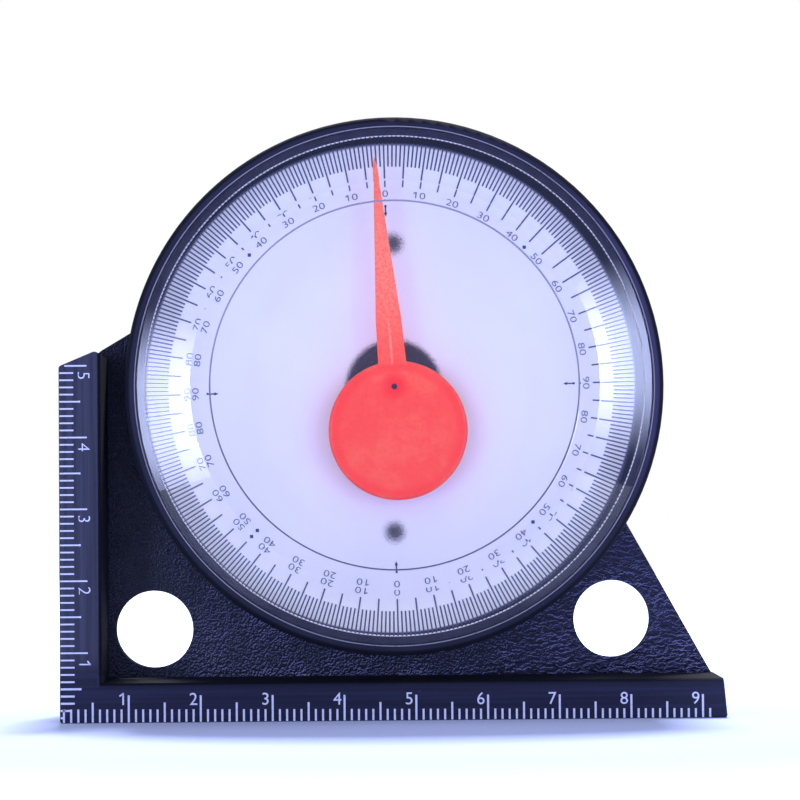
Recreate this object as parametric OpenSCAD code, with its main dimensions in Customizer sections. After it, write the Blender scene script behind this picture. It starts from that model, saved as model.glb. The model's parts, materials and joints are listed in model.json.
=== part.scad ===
// Slope-finding inclinometer: a weighted pointer hangs in front of a four-quadrant dial,
// in a moulded frame with a round drum and two ruler flanges. Millimetres, Z up, dial to -Y.

/* [Frame] */
// Length of the base flange
base_length = 93; // [90:1:110]
// Height of the base flange at its front edge
base_height = 5.5; // [5:0.1:8]
// Width of the side flange at its front edge
side_width = 5.8; // [5:0.1:8]
// Height of the side flange at its outer edge
side_height = 49.7; // [40:0.1:54]
// Depth of the frame, front to back
frame_depth = 24; // [20:0.5:30]
// Thickness of the web between the flanges and the drum
web_thickness = 3; // [2:0.1:5]
// Depth of the web below the front of the frame
web_recess = 11.5; // [8:0.5:14]
// Mould draft of the flange walls, in degrees
draft = 1.5; // [0:0.1:3]
// Rounding of the flange edges towards the web
flange_round = 0.8; // [0.2:0.1:1.5]
// Radius of the two through holes
hole_radius = 5.5; // [3:0.1:6]
// Distance of the left hole from the left edge
left_hole_inset = 12.6; // [12:0.1:15]
// Distance of the right hole from the right edge
right_hole_inset = 15.1; // [13:0.1:18]
// Height of the left hole above the base
left_hole_height = 12.6; // [12:0.1:15]
// Height of the right hole above the base
right_hole_height = 13.6; // [12:0.1:15]

/* [Drum] */
// Outer radius of the drum
drum_radius = 37.7; // [37.4:0.1:38]
// Height of the drum's centre above the base
drum_height = 46.7; // [46.5:0.1:52]
// Sideways distance of the drum's centre from the middle of the base
drum_offset = 0.4; // [-1:0.1:1]
// Wall thickness of the drum
drum_wall = 2.9; // [2.6:0.1:3.1]
// Rounding of the drum's outer edges
drum_round = 0.8; // [0.3:0.1:1]

/* [Lens] */
// Outer radius of the lens flange
lens_radius = 36.2; // [35.8:0.1:36.4]
// Thickness of the lens flange
lens_flange = 1.4; // [1:0.1:2]
// Radius of the lens's raised edge
raised_radius = 35; // [34.5:0.1:35.2]
// Height of the step at the raised edge
raised_edge = 0.5; // [0.2:0.1:1]
// Slope of the lens's outer zones, in degrees
lens_slope = 14.5; // [5:0.5:20]
// Radius at which the sloped outer zone starts
slope_radius = 28.5; // [27:0.1:30]
// Radius of the window, cored out from behind
window_radius = 26; // [20:0.1:27]
// Thickness of the window
window_thickness = 2.2; // [1.5:0.1:3]

/* [Dial] */
// Radius of the dial plate
dial_radius = 33.9; // [33.5:0.1:34.1]
// Thickness of the dial plate
dial_thickness = 0.8; // [0.5:0.1:1.2]
// Depth of the dial's face below the front of the drum
dial_depth = 8.5; // [8:0.1:10]
// Turn of the dial in the drum, as it was glued in
dial_turn = 1.3; // [-2:0.1:2]
// Sideways shift of the dial from the drum's centre, as it was glued in
dial_shift = -0.4; // [-0.4:0.05:0.4]
// Upward shift of the dial from the drum's centre
dial_rise = -0.15; // [-0.2:0.05:0.2]
// Width of a degree line
line_width = 0.2; // [0.1:0.01:0.3]
// Inner end of the one-degree lines
degree_line_end = 30.4; // [29:0.1:31]
// Inner end of the five-degree lines
five_line_end = 28.65; // [28:0.05:29]
// Distance of the 45 degree diamonds from the centre
diamond_distance = 27.6; // [27:0.1:28]

/* [Pointer] */
// Lean of the pointer from the frame's vertical
pointer_lean = 4.6; // [-10:0.1:10]
// Length of the needle from its pivot to its tip
needle_length = 32; // [31:0.1:32.5]
// Thickness of the needle
needle_thickness = 0.8; // [0.5:0.1:1.2]
// Radius of the round cap
cap_radius = 9.8; // [9:0.1:10]
// Distance of the cap's centre below the pivot
cap_drop = 6.2; // [5:0.1:6.4]
// Thickness of the steel weight under the cap
weight_thickness = 2.6; // [2:0.1:2.8]
// Radius of the pivot pin
pin_radius = 0.5; // [0.4:0.05:0.6]
// Running clearance between the pin and the bush
running_gap = 0.03; // [0.02:0.01:0.05]

/* [Rulers] */
// Width of a ruler line
ruler_line = 0.28; // [0.2:0.01:0.35]
// Millimetre lines on the base flange
base_line_count = 91; // [50:1:91]
// Millimetre lines on the side flange
side_line_count = 50; // [30:1:50]

/* [Rear] */
// Thickness of the rear cover
cover_thickness = 2.2; // [1.8:0.1:2.5]
// Radius of the central boss behind the dial
boss_radius = 6.8; // [6:0.1:8]
// Distance of the two dial posts from the centre
post_distance = 20.5; // [18:0.1:22]
// Radius of a dial post
post_radius = 1.5; // [1.2:0.1:2]
// Number of cover screws
screw_count = 3; // [3:1:4]
// Distance of the cover screws from the centre
screw_distance = 32.3; // [32:0.1:32.6]

/* [Magnets] */
// Length of one magnet
magnet_length = 30; // [20:1:34]
// Width of one magnet
magnet_width = 10; // [8:0.5:14]
// Thickness of one magnet
magnet_thickness = 2.6; // [2:0.1:3]
// Thickness of the steel plate over a magnet
backing_thickness = 0.8; // [0.5:0.1:1]

/* [Hidden] */
$fn = 96;
seat = 0.05;                    // gap round a piece that is dropped into its seat
cut = 1;                        // overrun of a cutting solid
ink = 0.06;                     // height of a printed line above its face

// Front view: x to the right and y up, from the middle of the base's lower edge
half_length = base_length / 2;
corner_round = 0.4;
end_slant = 0.5;                // the base flange is this much shorter at its top
side_rise = 2.1;                // the side flange's top slopes up by this much, inwards
web_end_angle = -28.3;          // place round the drum where the web's right edge ends
web_side_angle = 164.4;         // the same for its left edge
drum_bore = drum_radius - drum_wall;
cover_radius = drum_bore + 1.2;

// Front view: z out of the dial, from the middle of the whole depth
lens_rise = raised_edge + (lens_radius - slope_radius) * tan(lens_slope);
back_z = -(frame_depth + lens_rise) / 2;
rim_z = back_z + frame_depth;
web_front_z = rim_z - web_recess;
web_back_z = web_front_z - web_thickness;
seal_thickness = 0.4;
spigot = 0.6;                   // depth of the lens's spigot below its flange
spigot_radius = drum_bore - 0.1;
edge_break = 0.15;              // chamfer on the lens's raised edge
lens_seat_z = rim_z - lens_flange - seal_thickness;
lens_back_z = rim_z - lens_flange - spigot;
dial_face_z = rim_z - dial_depth;
dial_back_z = dial_face_z - dial_thickness;
dial_hole = 0.5;                // gap round the boss's nose in the dial
pad_thickness = 0.1;
boss_top_z = dial_back_z - pad_thickness;
cover_inner_z = back_z + cover_thickness;

// Pivot stack, from the boss to the cap
nose_radius = 1.95;
nose_z = dial_face_z + 0.2;
washer_radius = 1.7;
washer_thickness = 0.3;
bush_radius = 1.2;
bush_flange = 0.45;
bush_flange_radius = 1.8;
bush_back_z = nose_z + washer_thickness + 0.05;
weight_back_z = bush_back_z + bush_flange;
weight_front_z = weight_back_z + weight_thickness;
bush_front_z = weight_front_z - 0.2;
pin_gap = 0.01;                 // gap round a pressed pin or bush
pin_head_radius = 0.9;
pin_head = 0.4;
pin_head_z = bush_front_z + 0.05;
pin_end_z = cover_inner_z + 1.5;
cap_round = 0.5;
cap_skirt = 0.9;                // wall of the cap round the weight
cap_top_z = weight_front_z + needle_thickness;
cap_recess = 0.45;              // hollow in the cap for the pin's head
cap_eye_radius = 0.42;          // small hole in the cap, over the pin

// Distances from the pivot and half widths of the needle there, root to shoulder
needle_stations = [[2, 2.05], [3.7, 1.96], [9.5, 1.8], [28.9, 0.4], [30.2, 0.34]];

// Rear cover and its screws
cover_ring_radius = 28;
boss_column = 3.2;
rib = 1.2;
screw_radius = 1.1;
screw_head_radius = 2;
screw_head = 1.3;
screw_tip_z = back_z + 8.5;
screw_post_radius = 2.6;
screw_post_top_z = screw_tip_z + 0.8;

// Printed marks
line_outer_end = dial_radius - 0.05;
diamond_side = 0.46;
arrow_tip = 24.5;               // distance of a quadrant arrow's tip from the centre
arrow_length = 1.7;
print_edge = 0.1;               // gap between the ruler lines and the frame's outer edge
base_zero = -0.45;              // the base ruler's zero, from the frame's left edge
side_zero = -0.25;               // the side ruler's zero, above the frame's lower edge
base_line_lengths = [3.5, 2.5, 1.55];
side_line_lengths = [3.9, 3, 2.05];
corner_line_start = 0.8;        // the highest side line starts past the flange's round corner
base_print_slant = 0.3;         // the base lines are longer by this at the left end, and
                                // shorter at the right, because the print isn't quite level

// Magnet pockets in the underside
pocket_centres = [-18.5, 18.5];
magnet_recess = 0.15;

// ---------------------------------------------------------------- shared shapes

// Turns a shape drawn in the front view into the upright frame
module front_view() {
    rotate([90, 0, 0]) children();
}

module on_drum_axis() {
    front_view() translate([drum_offset, drum_height, 0]) children();
}

// Round solid on the local Z axis, between two heights
module disc(radius, low, high) {
    translate([0, 0, low]) cylinder(r = radius, h = high - low);
}

module slab(low, high) {
    translate([0, 0, low]) linear_extrude(high - low) children();
}

function unit(v) = v / norm(v);

// Points of an outline whose corner i is rounded with radii[i]
function rounded_outline(points, radii, steps = 6) = [
    for (i = [0 : len(points) - 1])
        let (n = len(points),
             corner = points[i],
             back = unit(points[(i + n - 1) % n] - corner),
             ahead = unit(points[(i + 1) % n] - corner),
             half = acos(back * ahead) / 2,
             centre = corner + unit(back + ahead) * radii[i] / sin(half),
             from = corner + back * radii[i] / tan(half) - centre,
             to = corner + ahead * radii[i] / tan(half) - centre)
        each radii[i] == 0
            ? [corner]
            : [for (k = [0 : steps])
                  centre + unit(from * (1 - k / steps) + to * k / steps) * radii[i]]
];

// Repeats a piece round the drum axis at the screw places, the first one straight up
module at_screws() {
    for (i = [0 : screw_count - 1])
        rotate([0, 0, 90 + i * 360 / screw_count])
            translate([screw_distance, 0, 0]) children();
}

// ---------------------------------------------------------------- frame

// Section of a flange: x is its height, y its place across the depth. The inner wall leans
// with the mould draft from both faces to the web, and the inner edges are round.
module flange_section(height) {
    rise = tan(draft) * web_recess;
    polygon([[0, back_z], [height - flange_round, back_z], [height, back_z + flange_round],
             [height + rise, web_back_z], [height + rise, web_front_z],
             [height, rim_z - flange_round], [height - flange_round, rim_z], [0, rim_z]]);
    for (z = [back_z + flange_round, rim_z - flange_round])
        translate([height - flange_round, z]) circle(flange_round);
}

module base_flange() {
    top = base_height + 1;
    intersection() {
        translate([-half_length, 0, 0])
            rotate([90, 0, 90]) linear_extrude(base_length) flange_section(base_height);
        slab(back_z, rim_z)
            polygon(rounded_outline(
                [[-half_length, 0], [half_length, 0], [half_length - end_slant, base_height],
                 [half_length - end_slant - 0.6, top], [-half_length, top]],
                [corner_round, corner_round, 0.6, 0, 0]));
    }
}

module side_flange() {
    inner = side_width + 1;
    top = side_height + side_rise;
    translate([-half_length, 0, 0])
        intersection() {
            translate([0, top, 0])
                rotate([90, 0, 0]) linear_extrude(top) flange_section(side_width);
            slab(back_z, rim_z)
                polygon(rounded_outline(
                    [[0, 0], [inner, 0], [inner, top - 0.9], [side_width - 0.8, top],
                     [0, side_height]],
                    [corner_round, 0, 0, 0.8, 0.5]));
        }
}

// Point in the drum's wall at an angle round its centre
function in_wall(angle) = [drum_offset, drum_height]
    + (drum_radius - drum_wall / 2) * [cos(angle), sin(angle)];

module web() {
    slab(web_back_z, web_front_z)
        polygon([[-half_length + 2, 2], [half_length - 2, 2],
                 [half_length - end_slant - 0.3, base_height], in_wall(web_end_angle),
                 [drum_offset, drum_height], in_wall(web_side_angle),
                 [-half_length + side_width - 0.6, side_height + side_rise + 0.6],
                 [-half_length + 2, side_height]]);
}

module drum_wall_ring() {
    rotate_extrude() {
        translate([drum_bore, back_z]) square([drum_wall - drum_round, frame_depth]);
        translate([drum_bore, back_z + drum_round])
            square([drum_wall, frame_depth - 2 * drum_round]);
        for (z = [back_z + drum_round, rim_z - drum_round])
            translate([drum_radius - drum_round, z]) circle(drum_round);
    }
}

// Post inside the drum wall that takes one cover screw
module screw_post() {
    height = screw_post_top_z - cover_inner_z;
    disc(screw_post_radius, cover_inner_z, screw_post_top_z);
    translate([0, -screw_post_radius, cover_inner_z])
        cube([drum_bore - screw_distance + 1, 2 * screw_post_radius, height]);
}

module through_holes() {
    for (place = [[-half_length + left_hole_inset, left_hole_height],
                  [half_length - right_hole_inset, right_hole_height]])
        translate(place) disc(hole_radius, web_back_z - cut, web_front_z + cut);
}

module magnet_pockets() {
    depth = magnet_recess + magnet_thickness + backing_thickness;
    for (x = pocket_centres)
        translate([x, depth, 0])
            rotate([90, 0, 0])
                linear_extrude(depth + cut)
                    square([magnet_length + 2 * seat, magnet_width + 2 * seat], center = true);
}

module frame() {
    color("#1c1c28") front_view() difference() {
        union() {
            base_flange();
            side_flange();
            difference() {
                union() {
                    web();
                    translate([drum_offset, drum_height, 0]) drum_wall_ring();
                }
                translate([drum_offset, drum_height, 0]) {
                    disc(drum_bore, back_z - cut, rim_z + cut);
                    disc(lens_radius + seat, lens_seat_z, rim_z + cut);
                    disc(cover_radius + seat, back_z - cut, cover_inner_z);
                }
            }
            translate([drum_offset, drum_height, 0]) at_screws() screw_post();
        }
        through_holes();
        magnet_pockets();
        translate([drum_offset, drum_height, 0])
            at_screws() disc(screw_radius, cover_inner_z - cut, screw_tip_z);
    }
}

// ---------------------------------------------------------------- rear cover

module cover_plate() {
    rotate_extrude()
        polygon([[0, back_z], [cover_radius - 0.4, back_z], [cover_radius, back_z + 0.4],
                 [cover_radius, cover_inner_z], [0, cover_inner_z]]);
    // Stiffening ring
    difference() {
        disc(cover_ring_radius, cover_inner_z, cover_inner_z + 1.5);
        disc(cover_ring_radius - 1.2, cover_inner_z - cut, cover_inner_z + 3);
    }
}

// Column with a round top under the dial and a nose through it
module boss() {
    flange_z = boss_top_z - 1.5;
    rotate_extrude()
        polygon([[0, cover_inner_z], [boss_column + 0.6, cover_inner_z],
                 [boss_column, cover_inner_z + 0.6], [boss_column, flange_z - 0.8],
                 [boss_column + 0.8, flange_z], [boss_radius, flange_z],
                 [boss_radius, boss_top_z], [nose_radius, boss_top_z],
                 [nose_radius, nose_z], [0, nose_z]]);
    for (angle = [0 : 90 : 270])
        rotate([0, 0, angle])
            translate([0, -rib / 2, cover_inner_z])
                cube([boss_radius - 0.6, rib, flange_z - cover_inner_z]);
}

// Tapered post that holds the dial, with a rib along the cover on each side
module dial_post() {
    translate([0, 0, cover_inner_z])
        cylinder(r1 = post_radius + 0.5, r2 = post_radius, h = boss_top_z - cover_inner_z);
    translate([-4, -rib / 2, cover_inner_z]) cube([8, rib, 4]);
}

module rear_cover() {
    color("#22222e") on_drum_axis() difference() {
        union() {
            cover_plate();
            boss();
            for (side = [-1, 1]) translate([0, side * post_distance, 0]) dial_post();
        }
        disc(pin_radius + pin_gap, pin_end_z, nose_z + cut);
        at_screws() {
            disc(screw_radius + seat, back_z - cut, cover_inner_z + cut);
            disc(screw_head_radius + 0.1, back_z - cut, back_z + screw_head);
        }
    }
}

// Pan-head screw with a cross recess, its head to the back
module cover_screw() {
    difference() {
        union() {
            disc(screw_radius - 0.02, back_z + screw_head, screw_tip_z);
            rotate_extrude()
                polygon([[0, back_z + 0.1], [screw_head_radius - 0.5, back_z + 0.1],
                         [screw_head_radius, back_z + 0.5],
                         [screw_head_radius, back_z + screw_head], [0, back_z + screw_head]]);
        }
        for (angle = [0, 90])
            rotate([0, 0, angle])
                translate([-1.1, -0.22, back_z - cut]) cube([2.2, 0.44, cut + 0.8]);
    }
}

module rear_cover_screws() {
    color("#b9bcc2") on_drum_axis() at_screws() cover_screw();
}

// ---------------------------------------------------------------- lens and dial

// Height of the lens's sloped front at a radius, without the step at its raised edge
function slope_z(radius) = rim_z + (lens_radius - radius) * tan(lens_slope);

// Stepped clear cover: sloped flange, raised edge, sloped zone, and a window cored out
// from behind
module lens() {
    front = rim_z + lens_rise;
    shoulder = raised_radius - edge_break;
    color([0.85, 0.88, 1, 0.4]) on_drum_axis() rotate_extrude()
        polygon([[0, front - window_thickness], [window_radius, front - window_thickness],
                 [window_radius, lens_back_z], [spigot_radius, lens_back_z],
                 [spigot_radius, rim_z - lens_flange], [lens_radius, rim_z - lens_flange],
                 [lens_radius, rim_z], [raised_radius, slope_z(raised_radius)],
                 [raised_radius, slope_z(raised_radius) + raised_edge - edge_break],
                 [shoulder, slope_z(shoulder) + raised_edge],
                 [slope_radius, front], [0, front]]);
}

module lens_seal() {
    color("#3a3a40") on_drum_axis() difference() {
        disc(lens_radius, lens_seat_z, rim_z - lens_flange);
        disc(drum_bore + seat, lens_seat_z - cut, rim_z);
    }
}

// Places a shape on the dial, which isn't quite centred in the drum
module on_dial() {
    on_drum_axis() translate([dial_shift, dial_rise, 0]) children();
}

module dial_plate() {
    color("#e6e6fa") on_dial() difference() {
        disc(dial_radius, dial_back_z, dial_face_z);
        disc(nose_radius + dial_hole, dial_back_z - cut, dial_face_z + cut);
    }
}

// Glue pads between the dial and the boss and posts
module dial_adhesive_pads() {
    color("#4a4a5a") on_drum_axis() {
        difference() {
            disc(boss_radius - 0.1, boss_top_z, dial_back_z);
            disc(nose_radius + 2 * dial_hole, boss_top_z - cut, dial_back_z + cut);
        }
        for (side = [-1, 1])
            translate([0, side * post_distance, 0]) disc(post_radius - 0.05, boss_top_z, dial_back_z);
    }
}

// One printed line of the dial, pointing up, from an inner radius to the dial's edge
module dial_line(inner) {
    translate([-line_width / 2, inner, dial_face_z])
        cube([line_width, line_outer_end - inner, ink]);
}

// Small inward arrow with a diamond at its tail, pointing to the dial's centre from above
module quadrant_arrow() {
    head = [[0, 0], [0.24, 0.55], [0.09, 0.55]];
    tail = [[0.09, arrow_length - 0.4], [0.2, arrow_length - 0.2]];
    half = concat(head, tail);
    slab(dial_face_z, dial_face_z + ink)
        translate([0, arrow_tip])
            polygon(concat(half, [[0, arrow_length]],
                           [for (i = [len(half) - 1 : -1 : 1]) [-half[i][0], half[i][1]]]));
}

module quadrant_diamond() {
    translate([0, diamond_distance, dial_face_z])
        rotate([0, 0, 45])
            translate([-diamond_side / 2, -diamond_side / 2, 0])
                cube([diamond_side, diamond_side, ink]);
}

module dial_degree_marks() {
    color("#4b5078") on_dial()
        for (degree = [0 : 359])
            rotate([0, 0, degree + dial_turn])
                dial_line(degree % 5 == 0 ? five_line_end : degree_line_end);
}

module dial_index_marks() {
    color("#30345c") on_dial()
        for (quarter = [0 : 90 : 270])
            rotate([0, 0, quarter + dial_turn]) {
                quadrant_arrow();
                rotate([0, 0, 45]) quadrant_diamond();
            }
}

// ---------------------------------------------------------------- pointer and its pivot

module pivot_pin() {
    color("#8d9096") on_drum_axis() {
        disc(pin_radius, pin_end_z, pin_head_z);
        rotate_extrude()
            polygon([[0, pin_head_z], [pin_head_radius, pin_head_z],
                     [pin_head_radius, pin_head_z + pin_head - 0.15],
                     [pin_head_radius - 0.15, pin_head_z + pin_head],
                     [0, pin_head_z + pin_head]]);
    }
}

module thrust_washer() {
    color("#f0efe6") on_drum_axis() difference() {
        disc(washer_radius, nose_z, nose_z + washer_thickness);
        disc(pin_radius + seat, nose_z - cut, nose_z + washer_thickness + cut);
    }
}

// Places a shape that moves with the pointer, drawn with the needle straight up
module leaning() {
    on_drum_axis() rotate([0, 0, pointer_lean]) children();
}

module needle() {
    sides = [for (s = needle_stations) [s[1], s[0]]];
    other = [for (i = [len(sides) - 1 : -1 : 0]) [-sides[i][0], sides[i][1]]];
    slab(cap_top_z - needle_thickness, cap_top_z)
        polygon(concat(sides, [[0, needle_length]], other));
}

// Round cap with a skirt round the weight, and its front edge rounded
module cap() {
    translate([0, -cap_drop, 0])
        rotate_extrude() {
            translate([0, weight_back_z]) square([cap_radius - cap_round, cap_top_z - weight_back_z]);
            translate([0, weight_back_z]) square([cap_radius, cap_top_z - weight_back_z - cap_round]);
            translate([cap_radius - cap_round, cap_top_z - cap_round]) circle(cap_round);
        }
}

module pointer() {
    color("#ff4038") leaning() difference() {
        union() {
            needle();
            cap();
        }
        translate([0, -cap_drop, 0])
            disc(cap_radius - cap_skirt, weight_back_z - cut, weight_front_z);
        disc(pin_head_radius + 0.4, weight_front_z - cut, weight_front_z + cap_recess);
        disc(cap_eye_radius, weight_front_z, cap_top_z + cut);
    }
}

module pointer_weight() {
    color("#9a9da3") leaning() difference() {
        translate([0, -cap_drop, 0])
            disc(cap_radius - cap_skirt - seat, weight_back_z, weight_front_z);
        disc(bush_radius + pin_gap, weight_back_z - cut, weight_front_z + cut);
    }
}

module pointer_bush() {
    color("#c8a24a") leaning() difference() {
        union() {
            disc(bush_radius, weight_back_z, bush_front_z);
            disc(bush_flange_radius, bush_back_z, weight_back_z);
        }
        disc(pin_radius + running_gap, bush_back_z - cut, bush_front_z + cut);
    }
}

// ---------------------------------------------------------------- rulers

// Length of a ruler line: the centimetre, half-centimetre and millimetre ones
function line_length(count, lengths) =
    count % 10 == 0 ? lengths[0] : count % 5 == 0 ? lengths[1] : lengths[2];

module bottom_ruler_marks() {
    color("#d4d9ff") front_view()
        for (count = [1 : base_line_count])
            translate([-half_length + base_zero + count - ruler_line / 2, print_edge, rim_z])
                cube([ruler_line,
                      line_length(count, base_line_lengths)
                          + base_print_slant * (1 - 2 * count / base_line_count),
                      ink]);
}

module left_ruler_marks() {
    color("#d4d9ff") front_view()
        for (count = [3 : side_line_count])
            let (start = count == side_line_count ? corner_line_start : print_edge)
                translate([-half_length + start, side_zero + count - ruler_line / 2, rim_z])
                    cube([line_length(count, side_line_lengths) - start, ruler_line, ink]);
    // The lowest two lines turn the corner and meet those of the base
    color("#d4d9ff") front_view()
        for (count = [1, 2])
            translate([-half_length + print_edge, side_zero + count - ruler_line / 2, rim_z])
                cube([base_zero + count - ruler_line / 2 - print_edge, ruler_line, ink]);
}

// ---------------------------------------------------------------- magnets

module magnet_block(low, high) {
    front_view()
        for (x = pocket_centres)
            translate([x - magnet_length / 2, low, -magnet_width / 2])
                cube([magnet_length, high - low, magnet_width]);
}

module base_magnets() {
    color("#4c4c50") magnet_block(magnet_recess, magnet_recess + magnet_thickness);
}

module magnet_backing_plates() {
    color("#a8abb0") magnet_block(magnet_recess + magnet_thickness,
                                  magnet_recess + magnet_thickness + backing_thickness);
}

frame();
rear_cover();
rear_cover_screws();
lens();
lens_seal();
dial_plate();
dial_adhesive_pads();
dial_degree_marks();
dial_index_marks();
pivot_pin();
thrust_washer();
pointer();
pointer_weight();
pointer_bush();
bottom_ruler_marks();
left_ruler_marks();
base_magnets();
magnet_backing_plates();
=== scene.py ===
import json
import math

import bpy
from mathutils import Matrix, Vector


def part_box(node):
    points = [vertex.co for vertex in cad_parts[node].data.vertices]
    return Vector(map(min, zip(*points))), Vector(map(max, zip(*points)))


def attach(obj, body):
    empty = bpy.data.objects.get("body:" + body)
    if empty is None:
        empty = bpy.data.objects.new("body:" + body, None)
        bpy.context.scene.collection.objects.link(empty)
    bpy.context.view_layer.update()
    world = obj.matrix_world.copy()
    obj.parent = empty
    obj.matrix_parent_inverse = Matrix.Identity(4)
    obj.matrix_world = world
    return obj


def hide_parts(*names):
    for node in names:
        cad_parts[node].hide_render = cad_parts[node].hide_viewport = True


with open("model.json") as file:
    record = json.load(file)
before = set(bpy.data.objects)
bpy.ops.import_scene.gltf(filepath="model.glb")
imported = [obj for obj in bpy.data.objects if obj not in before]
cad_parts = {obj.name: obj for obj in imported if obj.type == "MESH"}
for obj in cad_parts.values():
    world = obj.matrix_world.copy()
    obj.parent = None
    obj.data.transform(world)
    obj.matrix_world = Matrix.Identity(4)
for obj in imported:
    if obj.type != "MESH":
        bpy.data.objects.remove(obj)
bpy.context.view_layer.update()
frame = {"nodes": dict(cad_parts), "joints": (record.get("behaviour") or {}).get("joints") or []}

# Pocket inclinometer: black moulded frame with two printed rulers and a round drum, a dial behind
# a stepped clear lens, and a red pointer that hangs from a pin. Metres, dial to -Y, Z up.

MM = 0.001

# ------------------------------------------------------------------ sizes of the real object

DRUM_RADIUS = 37.7 * MM
DRUM_BORE = 34.8 * MM
SIDE_WIDTH = 5.8 * MM
WEB_RECESS = 11.5 * MM
WEB_THICKNESS = 3 * MM
BOSS_RADIUS = 6.8 * MM
POST_DISTANCE = 20.5 * MM
POST_RADIUS = 1.5 * MM
LENS_FLANGE = 1.4 * MM
WINDOW_RADIUS = 26 * MM
WINDOW_THICKNESS = 2.2 * MM
CAP_DROP = 6.2 * MM
POINTER_LEAN = math.radians(4.6)
DIAL_TURN = math.radians(1.3)
INK_DEPTH = 0.06 * MM
BASE_LAST_LINE = 91.14 * MM     # from the base ruler's zero to the far edge of its last line
SIDE_LAST_LINE = 50.14 * MM     # the same on the side ruler
ROUND_SIDES = 256               # sides of the lens and its rings

# ------------------------------------------------------------------ places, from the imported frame

cad = frame["nodes"]
pivot = Vector(frame["joints"][0]["pos_m"])
front_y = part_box("frame")[0].y
left_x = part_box("frame")[0].x
lens_low, lens_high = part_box("lens")
dial_low, dial_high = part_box("dial_plate")
cover_low, cover_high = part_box("rear_cover")
axis_x = (cover_low.x + cover_high.x) / 2
axis_z = (cover_low.z + cover_high.z) / 2
dial_x = (dial_low.x + dial_high.x) / 2
dial_z = (dial_low.z + dial_high.z) / 2
base_zero_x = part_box("bottom_ruler_marks")[1].x - BASE_LAST_LINE
side_zero_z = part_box("left_ruler_marks")[1].z - SIDE_LAST_LINE


# ------------------------------------------------------------------ shader building

def paint(red, green, blue):
    """A linear colour from the values 0 to 255 that a screen shows."""
    def linear(value):
        share = value / 255
        return share / 12.92 if share <= 0.04045 else ((share + 0.055) / 1.055) ** 2.4
    return (linear(red), linear(green), linear(blue), 1.0)


def feed(tree, socket, value):
    """Sets a socket to a number or colour, or links it to another node's output."""
    if isinstance(value, bpy.types.NodeSocket):
        tree.links.new(value, socket)
    else:
        socket.default_value = value


def add_node(tree, kind, inputs=None, **settings):
    """A shader node with its settings made and its inputs fed, by name or by place."""
    made = tree.nodes.new("ShaderNode" + kind)
    for name, value in settings.items():
        setattr(made, name, value)
    for name, value in (inputs or {}).items():
        feed(tree, made.inputs[name], value)
    return made


def calc(tree, operation, *values):
    """The result of one sum on numbers or sockets."""
    made = add_node(tree, "Math", operation=operation)
    for socket, value in zip(made.inputs, values):
        feed(tree, socket, value)
    return made.outputs["Value"]


def times(tree, first, *others):
    """The product of several values."""
    for other in others:
        first = calc(tree, "MULTIPLY", first, other)
    return first


def step(tree, value, low, high, to_low=0.0, to_high=1.0):
    """A soft step: to_low where the value is at low, to_high where it is at high."""
    made = add_node(
        tree, "MapRange",
        {"Value": value, "From Min": low, "From Max": high, "To Min": to_low, "To Max": to_high},
        interpolation_type="SMOOTHSTEP",
    )
    return made.outputs["Result"]


def zone(tree, value, start, full, ending, end):
    """1 from full to ending, and 0 before start and past end, with soft sides."""
    return times(tree, step(tree, value, start, full), step(tree, value, end, ending))


def mix_colour(tree, share, first, second):
    """The first colour, with a share of the second over it."""
    made = add_node(tree, "Mix", data_type="RGBA")
    for socket, value in zip((made.inputs[0], made.inputs[6], made.inputs[7]), (share, first, second)):
        feed(tree, socket, value)
    return made.outputs[2]


def mix_number(tree, share, first, second):
    """The first number, with a share of the second over it."""
    made = add_node(tree, "Mix", data_type="FLOAT")
    for socket, value in zip((made.inputs[0], made.inputs[2], made.inputs[3]), (share, first, second)):
        feed(tree, socket, value)
    return made.outputs[0]


def millimetres(tree):
    """The point on the piece in its own millimetres."""
    place = add_node(tree, "TexCoord").outputs["Object"]
    scaled = add_node(tree, "VectorMath", {0: place, "Scale": 1000}, operation="SCALE")
    return scaled.outputs["Vector"]


def coordinates(tree, point=None):
    """The x, y and z sockets of a point, in millimetres."""
    parts = add_node(tree, "SeparateXYZ", {"Vector": point or millimetres(tree)})
    return parts.outputs["X"], parts.outputs["Y"], parts.outputs["Z"]


def length(tree, first, second):
    """Length of a flat vector with these two parts."""
    return calc(tree, "SQRT", calc(tree, "ADD", times(tree, first, first), times(tree, second, second)))


def distance(tree, x, z, centre_x, centre_z):
    """Distance in the dial's plane from a centre, all in millimetres."""
    across = calc(tree, "SUBTRACT", x, centre_x)
    up = calc(tree, "SUBTRACT", z, centre_z)
    return length(tree, across, up)


def noise(tree, point, size, detail=2.0, roughness=0.5):
    """Soft noise from 0 to 1, with its size in millimetres."""
    made = add_node(tree, "TexNoise", {"Vector": point, "Scale": 1 / size, "Detail": detail,
                                       "Roughness": roughness})
    return made.outputs["Fac"]


def stretched(tree, point, x, y, z):
    """A point whose pattern is drawn out along an axis by a factor."""
    made = add_node(tree, "VectorMath", {0: point, 1: (1 / x, 1 / y, 1 / z)}, operation="MULTIPLY")
    return made.outputs["Vector"]


def shifted(tree, point, shift):
    """A point moved by a shift."""
    made = add_node(tree, "VectorMath", {0: point, 1: shift}, operation="ADD")
    return made.outputs["Vector"]


# ------------------------------------------------------------------ shared effects, as node groups

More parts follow.
